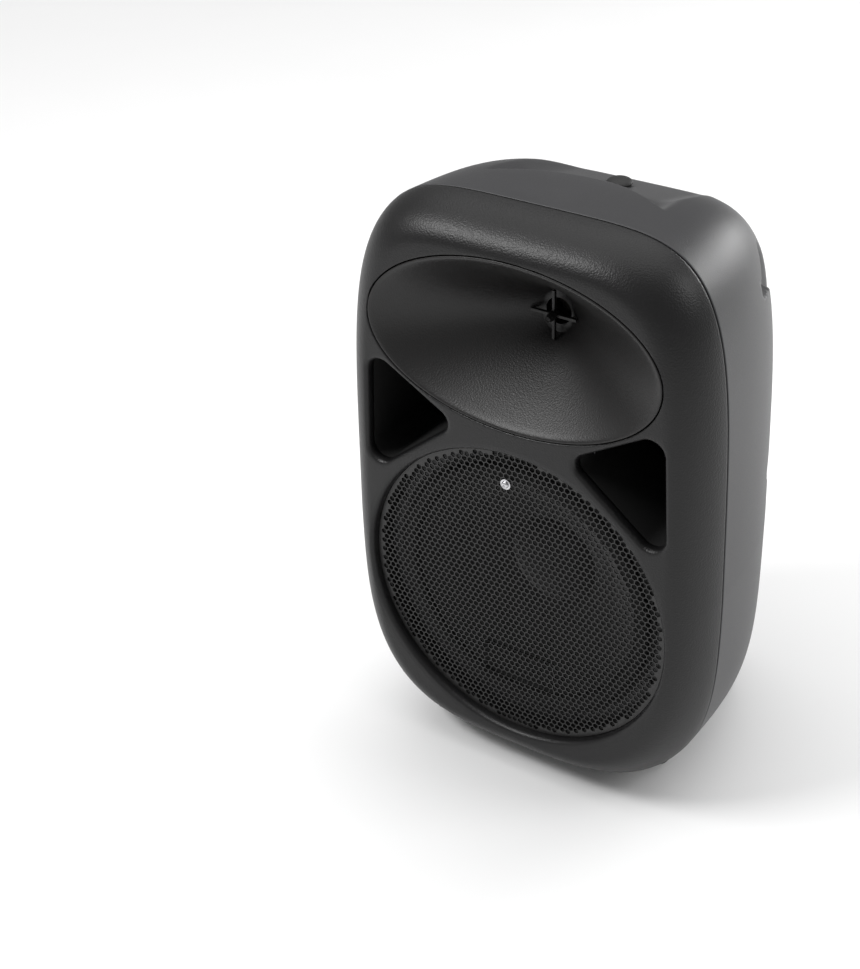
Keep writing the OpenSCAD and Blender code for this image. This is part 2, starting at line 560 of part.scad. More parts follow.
module status_lens() color([0.2, 0.6, 0.25]) yc(2.4, dish_y - 6, dish_y + 1.6, 30, 342);

front_baffle();
rear_shell();
seam_gasket();
case_screws();
horn();
phase_plug();
driver_plate();
driver_bolts();
hf_diaphragm();
hf_magnet();
hf_cover();
grille();
grille_ring();
grille_screw();
port_duct_left();
port_duct_right();
woofer_basket();
woofer_screws();
woofer_surround();
woofer_cone();
dust_cap();
voice_coil();
spider();
top_plate();
magnet();
pole_piece();
top_insert();
top_cap();
safety_insert();
pole_socket();
socket_screws();
feet();
damping_pads();
rear_panel();
panel_screws();
amp_board();
board_parts();
heatsink();
transformer();
wiring();
mains_inlet();
fuse_drawer();
switch_frame();
power_rocker();
mic_socket();
mic_latch();
link_plug();
level_pots();
level_knob();
bass_knob();
treble_knob();
mode_switch();
mode_button();
status_lens();
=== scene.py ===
"""Portable loudspeaker: smooth mouldings, a fine hexagonal grille and procedural finishes,
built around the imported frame. Lengths in this script are millimetres until a mesh is made."""

import json
import math

import bmesh
import bpy
import numpy as np
from mathutils import Matrix, Vector
from mathutils.geometry import delaunay_2d_cdt
from mathutils.kdtree import KDTree


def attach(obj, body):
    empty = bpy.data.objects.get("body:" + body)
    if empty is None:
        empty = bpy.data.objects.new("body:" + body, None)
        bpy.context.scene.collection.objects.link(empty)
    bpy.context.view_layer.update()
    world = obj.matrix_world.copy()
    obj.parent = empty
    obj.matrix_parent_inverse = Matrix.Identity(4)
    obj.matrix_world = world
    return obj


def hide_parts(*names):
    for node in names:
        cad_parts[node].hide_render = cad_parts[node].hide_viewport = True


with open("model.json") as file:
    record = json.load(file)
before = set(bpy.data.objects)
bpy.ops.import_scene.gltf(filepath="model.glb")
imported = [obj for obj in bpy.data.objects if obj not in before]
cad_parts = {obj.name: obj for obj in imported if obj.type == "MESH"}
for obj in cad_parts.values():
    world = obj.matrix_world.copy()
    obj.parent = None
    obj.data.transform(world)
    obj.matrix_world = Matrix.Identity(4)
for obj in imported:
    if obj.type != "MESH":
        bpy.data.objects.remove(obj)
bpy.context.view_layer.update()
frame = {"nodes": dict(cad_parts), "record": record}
nodes = frame["nodes"]
MM = 0.001
TAU = 2 * math.pi

# ---------------------------------------------------------------- driving sizes
HALF_W, MID_Z, TOP_H, BOT_H = 190.0, 247.5, 340.0, 237.5
N_TOP, N_LOW, N_GAIN, TAPER = 5.0, 3.3, 1.7, 0.04
FRONT_H, SEAM_H, BACK_Y = 148.0, 97.0, 148.0
FRONT_IN, N_FRONT = 33.0, 1.8
REAR_IN, REAR_CURVE = 20.0, 80.0
WOOFER_Z, OPEN_R, PLANE_H = 207.5, 157.5, 141.2
HORN_Z, HORN_A, HORN_B = 472.5, 144.0, 78.5
THROAT_A, THROAT_B, THROAT_H = 15.0, 21.0, 62.0
PORT_V = [(57.4, 173.0), (150.0, 227.0), (156.5, 92.0)]
PORT_C = [12.0, 14.0, 14.0]
PANEL_W, PANEL_T, PANEL_Z = 152.0, 292.0, 262.0
FOOT_X, FOOT_YS = 112.0, (-56.0, 80.0)
SOCKET_Y, CAP_Y = -10.0, 44.0
# channel in the top: its lip (depth in the middle and bow to the sides), its floor and sides
LIP_Y, LIP_BOW, LIP_STEEP = 1.0, 0.0054, 3.2
FLOOR_Z, FLOOR_FALL, FLOOR_LEVEL = 566.0, math.tan(math.radians(16.5)), 0.22
FLOOR_HALF, SIDE_RISE = 56.0, 0.0112
SEAT_R, SEAT_Z = 14.5, 552.3
WALL, WELD = 2.6, 0.01


# ---------------------------------------------------------------- small maths
def smin(a, b, k):
    """Smooth minimum that rounds the join of a and b over about k."""
    return np.minimum(a, b) - np.maximum(k - np.abs(a - b), 0) ** 2 / (4 * k)


def softpos(v, k):
    """Smooth version of max(v, 0)."""
    return 0.5 * (v + np.sqrt(v * v + k * k))


def outline(th, d, db, nl):
    """Outline points (x, z) at polar angles th, inset d at the sides and top and db below."""
    c, s = np.cos(th), np.sin(th)
    up = s >= 0
    n = np.where(up, N_TOP, nl)
    hh = np.where(up, TOP_H - d, BOT_H - db)
    rho = (np.abs(c / (HALF_W - d)) ** n + np.abs(s / hh) ** n) ** (-1 / n)
    q = rho * s / hh
    return rho * c * np.where(up, 1 - TAPER * q, 1), MID_Z + rho * s


def front_d(s):
    return FRONT_IN * (1 - (1 - s**N_FRONT) ** (1 / N_FRONT))


def rear_d(s):
    return REAR_IN * s + REAR_CURVE * s**3.2


def rear_ring(th, y):
    """Outline (x, z) of the rear moulding at depth y; y may be an array like th."""
    s = (y + SEAM_H) / (BACK_Y + SEAM_H)
    e = 8.0
    edge = np.where(y < BACK_Y - e, 0, e - np.sqrt(np.maximum(0, e * e - (y - BACK_Y + e) ** 2)))
    return outline(th, rear_d(s) + edge, 15 * s**8 + edge, N_LOW + N_GAIN * s)


def angles_by_length(count, start):
    """Polar angles that cut the seam outline into equal lengths, from start once round."""
    th = start + np.linspace(0, TAU, 40001)
    x, z = outline(th, 0, 0, N_LOW)
    run = np.concatenate([[0], np.cumsum(np.hypot(np.diff(x), np.diff(z)))])
    return th, run, np.interp(np.linspace(0, run[-1], count + 1)[:-1], run, th)


def outer_h(x, z):
    """How far forward the rounded front is at (x, z)."""
    zz = z - MID_Z
    up = zz >= 0
    n = np.where(up, N_TOP, N_LOW)
    lo, hi = np.zeros_like(x), np.full_like(x, FRONT_IN)
    for _ in range(32):
        d = (lo + hi) / 2
        hh = np.where(up, TOP_H, BOT_H) - d
        w = (HALF_W - d) * np.where(up, 1 - TAPER * zz / hh, 1)
        g = np.abs(x / w) ** n + np.abs(zz / hh) ** n - 1
        lo, hi = np.where(g < 0, d, lo), np.where(g < 0, hi, d)
    d = np.clip((lo + hi) / 2, 0, FRONT_IN)
    s = np.maximum(0, 1 - (1 - d / FRONT_IN) ** N_FRONT) ** (1 / N_FRONT)
    return SEAM_H + (FRONT_H - SEAM_H) * s


def port_loop(grow, steps=14, side=1):
    """Outline of a port opening, a triangle with rounded corners, as points (x, z)."""
    pts = []
    v = [Vector(p) for p in PORT_V]
    for i in range(3):
        p, a, b = v[i], (v[i - 1] - v[i]).normalized(), (v[(i + 1) % 3] - v[i]).normalized()
        half = a.angle(b) / 2
        c = p + (a + b).normalized() * (PORT_C[i] / math.sin(half))
        a0, a1 = math.atan2(-a.x, a.y), math.atan2(b.x, -b.y)
        sweep = (a1 - a0 + math.pi) % TAU - math.pi
        r = PORT_C[i] + grow
        pts += [(c.x + r * math.cos(a0 + sweep * k / steps), c.y + r * math.sin(a0 + sweep * k / steps))
                for k in range(steps + 1)]
    pts = resample(np.array(pts), 2.2)
    pts[:, 0] *= side
    pts[:, 1] += WOOFER_Z
    return pts


def resample(loop, step):
    """A closed loop cut again into equal steps."""
    closed = np.vstack([loop, loop[:1]])
    run = np.concatenate([[0], np.cumsum(np.hypot(*np.diff(closed, axis=0).T))])
    t = np.linspace(0, run[-1], max(8, int(round(run[-1] / step))) + 1)[:-1]
    return np.stack([np.interp(t, run, closed[:, 0]), np.interp(t, run, closed[:, 1])], 1)


def inside(loop, x, y):
    """Whether each point (x, y) is inside a closed loop."""
    hit = np.zeros(x.shape, bool)
    for (x0, y0), (x1, y1) in zip(loop, np.roll(loop, -1, 0)):
        if y0 == y1:
            continue
        cross = (y0 > y) != (y1 > y)
        hit ^= cross & (x < (x1 - x0) * (y - y0) / (y1 - y0) + x0)
    return hit


def distance(loop, x, y):
    """Signed distance from a closed loop, positive outside."""
    best = np.full(x.shape, 1e9)
    for (x0, y0), (x1, y1) in zip(loop, np.roll(loop, -1, 0)):
        dx, dy = x1 - x0, y1 - y0
        t = np.clip(((x - x0) * dx + (y - y0) * dy) / (dx * dx + dy * dy), 0, 1)
        best = np.minimum(best, np.hypot(x - x0 - t * dx, y - y0 - t * dy))
    return np.where(inside(loop, x, y), -best, best)


def ring_points(radius, count, cx=0.0, cy=0.0, ratio=1.0):
    t = np.arange(count) * TAU / count
    return np.stack([cx + radius * np.cos(t), cy + radius * ratio * np.sin(t)], 1)


# ---------------------------------------------------------------- mesh making
def triangulate(loops, free, keep, apart=0.5):
    """Delaunay triangles over closed loops and free points. Returns the points, the faces, and
    for each loop the output index of each of its points."""
    pts, edges, spans = [], [], []
    for loop in loops:
        a, n = len(pts), len(loop)
        pts += [(float(u), float(v)) for u, v in loop]
        edges += [(a + i, a + (i + 1) % n) for i in range(n)]
        spans.append((a, n))
    tree = KDTree(len(pts))
    for i, (u, v) in enumerate(pts):
        tree.insert((u, v, 0), i)
    tree.balance()
    grid = {}
    for u, v in free:
        key = (round(u / apart), round(v / apart))
        if key not in grid and tree.find((u, v, 0))[2] > apart:
            grid[key] = (float(u), float(v))
    pts += list(grid.values())
    out, _, faces, origin, _, _ = delaunay_2d_cdt([Vector(p) for p in pts], edges, [], 0, 1e-5)
    where = {}
    for i, sources in enumerate(origin):
        for s in sources:
            where[s] = i
    xy = np.array([(p.x, p.y) for p in out])
    tri = np.array(faces)
    mid = xy[tri].mean(1)
    tri = tri[keep(mid[:, 0], mid[:, 1])]
    return xy, tri, [[where[a + i] for i in range(n)] for a, n in spans]


class Skin:
    """Collects points and faces in millimetres, then makes one object."""

    def __init__(self):
        self.v, self.f = [], []

    def add(self, pts):
        a = len(self.v)
        self.v += [tuple(float(c) for c in p) for p in pts]
        return list(range(a, len(self.v)))

    def faces(self, tri, index):
        self.f += [[index[i] for i in t] for t in tri]

    def strip(self, a, b):
        """Joins two closed rings of the same number of points."""
        n = len(a)
        for i in range(n):
            j = (i + 1) % n
            self.f.append([a[i], a[j], b[j], b[i]])

    def loft(self, rings):
        ids = [self.add(r) for r in rings]
        for a, b in zip(ids, ids[1:]):
            self.strip(a, b)

    def make(self, name, material, replaced=(), sharp=None, thick=None):
        """Makes the object, which rides the cabinet; sharp is in degrees, thick in millimetres."""
        mesh = bpy.data.meshes.new(name)
        mesh.from_pydata([(x * MM, y * MM, z * MM) for x, y, z in self.v], [], self.f)
        bm = bmesh.new()
        bm.from_mesh(mesh)
        bmesh.ops.remove_doubles(bm, verts=bm.verts, dist=WELD * MM)
        loose = [v for v in bm.verts if not v.link_faces]
        bmesh.ops.delete(bm, geom=loose, context="VERTS")
        bmesh.ops.recalc_face_normals(bm, faces=bm.faces)
        bm.to_mesh(mesh)
        bm.free()
        for p in mesh.polygons:
            p.use_smooth = True
        obj = bpy.data.objects.new(name, mesh)
        bpy.context.scene.collection.objects.link(obj)
        mesh.materials.append(material)
        if sharp:
            mesh.set_sharp_from_angle(angle=math.radians(sharp))
        if thick:
            m = obj.modifiers.new("wall", "SOLIDIFY")
            m.thickness, m.offset = thick * MM, -1
        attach(obj, "cabinet")
        if replaced:
            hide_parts(*replaced)
        return obj


def turned(skin, profile, z, x=0.0, count=128, axis="front"):
    """Revolves (radius, forward) about a line through (x, z), or about a vertical line at (x, y=z)."""
    t = np.arange(count) * TAU / count
    rings = []
    for r, h in profile:
        if axis == "front":
            rings.append(np.stack([x + r * np.cos(t), np.full(count, -h), z + r * np.sin(t)], 1))
        else:
            rings.append(np.stack([x + r * np.cos(t), z + r * np.sin(t), np.full(count, h)], 1))
    skin.loft(rings)


# ---------------------------------------------------------------- materials
def shader(name, color, rough, metal=0.0, spec=0.5):
    mat = bpy.data.materials.new(name)
    mat.use_nodes = True
    tree = mat.node_tree
    bsdf = tree.nodes["Principled BSDF"]
    bsdf.inputs["Base Color"].default_value = (*color, 1)
    bsdf.inputs["Roughness"].default_value = rough
    bsdf.inputs["Metallic"].default_value = metal
    bsdf.inputs["Specular IOR Level"].default_value = spec
    return mat, tree, bsdf


def link(tree, a, out, b, into):
    tree.links.new(a.outputs[out], b.inputs[into])


def noise(tree, scale, detail=3.0, rough=0.55, kind="ShaderNodeTexNoise", stretch=None):
    where = tree.nodes.new("ShaderNodeTexCoord")
    tex = tree.nodes.new(kind)
    tex.inputs["Scale"].default_value = scale
    if kind == "ShaderNodeTexNoise":
        tex.inputs["Detail"].default_value = detail
        tex.inputs["Roughness"].default_value = rough
    if stretch:
        m = tree.nodes.new("ShaderNodeMapping")
        m.inputs["Scale"].default_value = stretch
        link(tree, where, "Object", m, "Vector")
        link(tree, m, "Vector", tex, "Vector")
    else:
        link(tree, where, "Object", tex, "Vector")
    return tex


def ramp(tree, src, out, lo, hi, a, b):
    """Maps src from lo..hi to a..b, where a and b are colours or grey values."""
    r = tree.nodes.new("ShaderNodeValToRGB")
    r.color_ramp.elements[0].position, r.color_ramp.elements[1].position = lo, hi
    for e, c in zip(r.color_ramp.elements, (a, b)):
        e.color = (*c, 1) if isinstance(c, tuple) else (c, c, c, 1)
    link(tree, src, out, r, "Fac")
    return r


def bump(tree, bsdf, layers):
    """Stacks bump layers of (texture, output, strength, distance in metres)."""
    last = None
    for tex, out, strength, dist in layers:
        b = tree.nodes.new("ShaderNodeBump")
        b.inputs["Strength"].default_value = strength
        b.inputs["Distance"].default_value = dist
        link(tree, tex, out, b, "Height")
        if last:
            link(tree, last, "Normal", b, "Normal")
        last = b
    link(tree, last, "Normal", bsdf, "Normal")


def plastic(name, color, rough, pebble, depth, vary=0.12, spec=0.5):
    """Moulded plastic with pebbles of about that many metres, faint mottling and scuffs."""
    mat, tree, bsdf = shader(name, color, rough, spec=spec)
    cells = noise(tree, 1 / pebble, kind="ShaderNodeTexVoronoi")
    cells.feature = "SMOOTH_F1"
    fine = noise(tree, 2.2 / pebble, 2.0)
    broad = noise(tree, 9.0, 4.0)
    lo = tuple(c * (1 - vary) for c in color)
    hi = tuple(c * (1 + vary) for c in color)
    link(tree, ramp(tree, broad, "Fac", 0.3, 0.7, lo, hi), "Color", bsdf, "Base Color")
    uneven = ramp(tree, fine, "Fac", 0.3, 0.7, max(0, rough - 0.06), min(1, rough + 0.06))
    link(tree, uneven, "Color", bsdf, "Roughness")
    bump(tree, bsdf, [(cells, "Distance", 0.8, depth), (fine, "Fac", 0.35, depth * 0.6)])
    return mat


def metal(name, color, rough, metallic=1.0, grain=900.0, depth=1e-5, stretch=None, vary=0.1):
    mat, tree, bsdf = shader(name, color, rough, metallic)
    g = noise(tree, grain, 3.0, stretch=stretch)
    broad = noise(tree, 30.0, 4.0)
    lo = tuple(c * (1 - vary) for c in color)
    hi = tuple(min(1, c * (1 + vary)) for c in color)
    link(tree, ramp(tree, broad, "Fac", 0.3, 0.7, lo, hi), "Color", bsdf, "Base Color")
    link(tree, ramp(tree, g, "Fac", 0.3, 0.7, max(0, rough - 0.08), rough + 0.08), "Color", bsdf, "Roughness")
    bump(tree, bsdf, [(g, "Fac", 0.5, depth)])
    return mat


def fibre(name, color, rough, scale, depth):
    mat, tree, bsdf = shader(name, color, rough, spec=0.3)
    a = noise(tree, scale, 4.0, stretch=(1, 1, 3))
    b = noise(tree, scale, 4.0, stretch=(3, 1, 1))
    lo = tuple(c * 0.75 for c in color)
    hi = tuple(c * 1.25 for c in color)
    link(tree, ramp(tree, a, "Fac", 0.35, 0.65, lo, hi), "Color", bsdf, "Base Color")
    bsdf.inputs["Sheen Weight"].default_value = 0.2
    bump(tree, bsdf, [(a, "Fac", 0.6, depth), (b, "Fac", 0.6, depth)])
    return mat


def lens():
    mat, tree, bsdf = shader("lens_green", (0.1, 0.6, 0.15), 0.12)
    n = noise(tree, 400.0, 2.0)
    tint = ramp(tree, n, "Fac", 0.3, 0.7, (0.08, 0.5, 0.12), (0.13, 0.68, 0.2))
    link(tree, tint, "Color", bsdf, "Base Color")
    bsdf.inputs["Transmission Weight"].default_value = 0.3
    bump(tree, bsdf, [(n, "Fac", 0.1, 1e-5)])
    return mat


MATS = {
    "baffle_plastic": plastic("baffle_plastic", (0.0062, 0.006, 0.0063), 0.4, 0.0014, 2.6e-4, spec=0.34),
    "shell_plastic": plastic("shell_plastic", (0.024, 0.024, 0.026), 0.44, 0.0011, 1.0e-4),
    "horn_plastic": plastic("horn_plastic", (0.008, 0.0075, 0.0075), 0.42, 0.0013, 1.8e-4, spec=0.4),
    "duct_plastic": plastic("duct_plastic", (0.008, 0.008, 0.008), 0.6, 0.0014, 0.8e-4),
    "panel_paint": plastic("panel_paint", (0.022, 0.022, 0.023), 0.5, 0.0007, 0.6e-4),
    "socket_plastic": plastic("socket_plastic", (0.018, 0.018, 0.018), 0.38, 0.0008, 0.2e-4),
    "knob_plastic": plastic("knob_plastic", (0.06, 0.06, 0.062), 0.42, 0.0006, 0.3e-4),
    "rocker": plastic("rocker", (0.28, 0.012, 0.01), 0.25, 0.0008, 0.1e-4),
    "board_parts": plastic("board_parts", (0.03, 0.03, 0.036), 0.35, 0.001, 0.2e-4),
    "board": plastic("board", (0.012, 0.09, 0.035), 0.3, 0.0009, 0.15e-4),
    "wire": plastic("wire", (0.3, 0.015, 0.012), 0.4, 0.0008, 0.1e-4),
    "rubber": plastic("rubber", (0.01, 0.01, 0.01), 0.72, 0.001, 0.5e-4, spec=0.35),
    "foam": fibre("foam", (0.12, 0.12, 0.125), 0.95, 500.0, 6e-4),
    "paper_cone": fibre("paper_cone", (0.012, 0.012, 0.012), 0.8, 700.0, 1.5e-4),
    "spider_cloth": fibre("spider_cloth", (0.3, 0.2, 0.09), 0.85, 900.0, 1.5e-4),
    "grille_paint": metal("grille_paint", (0.011, 0.0105, 0.0105), 0.4, 0.0, 1500.0, 3e-5),
    "cast_frame": metal("cast_frame", (0.03, 0.03, 0.031), 0.45, 0.2, 900.0, 4e-5),
    "black_steel": metal("black_steel", (0.014, 0.014, 0.015), 0.4, 0.2, 1200.0, 1e-5),
    "bright_steel": metal("bright_steel", (0.62, 0.62, 0.64), 0.3, 1.0, 700.0, 1e-5, (1, 1, 12)),
    "ferrite": metal("ferrite", (0.05, 0.05, 0.052), 0.55, 0.1, 1400.0, 3e-5),
    # diaphragm: painted shade, the dome made near black and not metallic so the throat deep in the horn reads
    # dark
    "diaphragm": metal("diaphragm", (0.02, 0.018, 0.016), 0.4, 0.0, 900.0, 1e-5),
    "copper": metal("copper", (0.6, 0.28, 0.13), 0.3, 1.0, 500.0, 6e-5, (1, 14, 14)),
    "brass": metal("brass", (0.66, 0.48, 0.2), 0.28, 1.0, 900.0, 1e-5, (1, 10, 1)),
    "heatsink": metal("heatsink", (0.66, 0.67, 0.69), 0.35, 1.0, 500.0, 1e-5, (1, 10, 1)),
    "lens": lens(),
}

slot_of = {s["node"]: s["material_slot"] for s in frame["record"]["subparts"]}
for node_name, node_obj in nodes.items():
    node_obj.data.materials.clear()
    node_obj.data.materials.append(MATS[slot_of[node_name]])


# ---------------------------------------------------------------- front moulding
def fillet(e, width, drop):
    """Height of a quarter round that starts drop below the front at e = 0 and ends at width."""
    t = np.clip((width - e) / width, 0, 1)
    return np.where(e < width, FRONT_H - drop + drop * np.sqrt(1 - t * t), FRONT_H + (e - width))


PORTS = {side: port_loop(0, side=side) for side in (1, -1)}
GAP_A = HORN_A + 3.8
GAP_B = HORN_B + 3.8


def ellipse_gap(x, z):
    """About how far (x, z) is outside the hole for the horn."""
    zz = z - HORN_Z
    f = (x / GAP_A) ** 2 + (zz / GAP_B) ** 2
    return (f - 1) / (2 * np.hypot(x / GAP_A**2, zz / GAP_B**2) + 1e-9)


def front_h(x, z):
    h = outer_h(x, z)
    h = smin(h, fillet(np.hypot(x, z - WOOFER_Z) - OPEN_R, 6.0, FRONT_H - PLANE_H), 1.0)
    port = distance(PORTS[1], np.abs(x), z)
    h = smin(h, fillet(port, 5.0, 5.0), 0.8)
    return smin(h, fillet(np.maximum(ellipse_gap(x, z), 0), 1.2, 1.2), 0.3)


def front_moulding():
    skin = Skin()
    _, _, th = angles_by_length(620, -math.pi / 2)
    rings = []
    for s, drop, tuck in [(0, 0.8, 0.9), (0, 1.1, 0.35), (0, 1.7, 0)] + [(s, 0, 0) for s in
                          (0.07, 0.13, 0.2, 0.28, 0.36, 0.44, 0.52, 0.6)]:
        x, z = outline(th, front_d(s) + tuck, front_d(s) + tuck, N_LOW)
        rings.append(np.stack([x, np.full_like(x, -(SEAM_H + 51 * s + drop)), z], 1))
    skin.loft(rings)
    edge = rings[-1][:, [0, 2]]

    woofer = ring_points(OPEN_R, 420, 0, WOOFER_Z)
    horn = ring_points(GAP_A, 360, 0, HORN_Z, GAP_B / GAP_A)
    loops = [edge, woofer, horn, PORTS[1], PORTS[-1]]
    free = []
    for s in (0.66, 0.72, 0.78, 0.83, 0.875, 0.91, 0.94, 0.962, 0.98, 0.992, 1.0):
        free += list(np.stack(outline(th, front_d(s), front_d(s), N_LOW), 1))
    for e in (0.5, 1.1, 1.8, 2.7, 3.8, 4.9, 6.0, 7.4, 9.2):
        free += list(ring_points(OPEN_R + e, 420, 0, WOOFER_Z))
    for e in (0.4, 0.8, 1.2, 1.8, 3.2):
        free += list(ring_points(GAP_A + e, 360, 0, HORN_Z, (GAP_B + e) / (GAP_A + e)))
    for side in (1, -1):
        for e in (0.5, 1.1, 1.8, 2.6, 3.5, 4.4, 5.2, 6.6):
            free += list(port_loop(e, side=side))
    gx, gz = np.meshgrid(np.arange(-180, 181, 6.0), np.arange(12, 586, 6.0))
    free += list(np.stack([gx.ravel(), gz.ravel()], 1))
    free = np.array(free)

    def solid(x, z):
        return (inside(edge, x, z) & (np.hypot(x, z - WOOFER_Z) > OPEN_R - 0.02)
                & (ellipse_gap(x, z) > -0.02) & (distance(PORTS[1], np.abs(x), z) > -0.02))

    free = free[solid(free[:, 0], free[:, 1])]
    xy, tri, spans = triangulate(loops, free, solid, 0.45)
    h = front_h(xy[:, 0], xy[:, 1])
    index = skin.add(np.stack([xy[:, 0], -h, xy[:, 1]], 1))
    skin.faces(tri, index)

    def inward(loop, span, rows):
        ring = [index[i] for i in spans[span]]
        for grow, depth in rows:
            if grow:
                mid = loop.mean(0)
                way = loop - mid
                loop2 = loop + way / np.linalg.norm(way, axis=1)[:, None] * grow
            else:
                loop2 = loop
            nxt = skin.add([(p[0], -depth, p[1]) for p in loop2])
            skin.strip(ring, nxt)
            ring = nxt

    inward(woofer, 1, [(0, 140.6), (0, 139.2), (0, 136.9), (0, 130), (0, 114)])
    inward(horn, 2, [(0, 145.6), (0, 143.5), (0, 141)])
    for span, side in ((3, 1), (4, -1)):
        inward(PORTS[side], span, [(0, 142.4), (0, 141), (0, 138)])
    return skin.make("front_moulding", MATS["baffle_plastic"], ("front_baffle",),
                     sharp=50, thick=WALL)


# ---------------------------------------------------------------- rear moulding
GRIP = np.array([(14, 497), (44, 524), (123, 524), (123, 270), (84, 270), (40, 302), (59, 320),
                 (59, 485)], float)
GRIP_X = 130.0


def soften(loop, radius, step=1.5):
    """Rounds the corners of a closed loop."""
    pts = []
    n = len(loop)
    for i in range(n):
        p, a, b = loop[i], loop[i - 1] - loop[i], loop[(i + 1) % n] - loop[i]
        la, lb = np.linalg.norm(a), np.linalg.norm(b)
        r = min(radius, la * 0.45, lb * 0.45)
        p0, p1 = p + a / la * r, p + b / lb * r
        for t in np.linspace(0, 1, 9):
            pts.append((1 - t) ** 2 * p0 + 2 * t * (1 - t) * p + t * t * p1)
    return resample(np.array(pts), step)


GRIP_LOOP = soften(GRIP, 9.0, 2.0)


def sink(x, y, z):
    """Presses the top channel, the cap's seat and the side grips into the rear moulding."""
    lip = LIP_Y - LIP_BOW * x**2
    floor = FLOOR_Z - FLOOR_FALL * y - FLOOR_LEVEL * softpos(-y, 8)
    side = np.maximum(0, np.abs(x) - FLOOR_HALF)
    chan = floor + SIDE_RISE * side**2 + LIP_STEEP * softpos(lip - y, 1.6)
    top = z > 440
    z = np.where(top, smin(z, chan, 3.4), z)
    seat = np.hypot(x, y - CAP_Y)
    z = np.where(top & (seat < SEAT_R), np.minimum(z, SEAT_Z), z)
    near = (np.abs(x) > 100) & (y > -5) & (z > 255) & (z < 540)
    out = np.full(x.shape, 1e3)
    out[near] = distance(GRIP_LOOP, y[near], z[near])
    wall = GRIP_X + 5.0 * softpos(out - 0.2, 0.8)
    x = np.where(near, np.sign(x) * smin(np.abs(x), wall, 2.6), x)
    return x, y, z


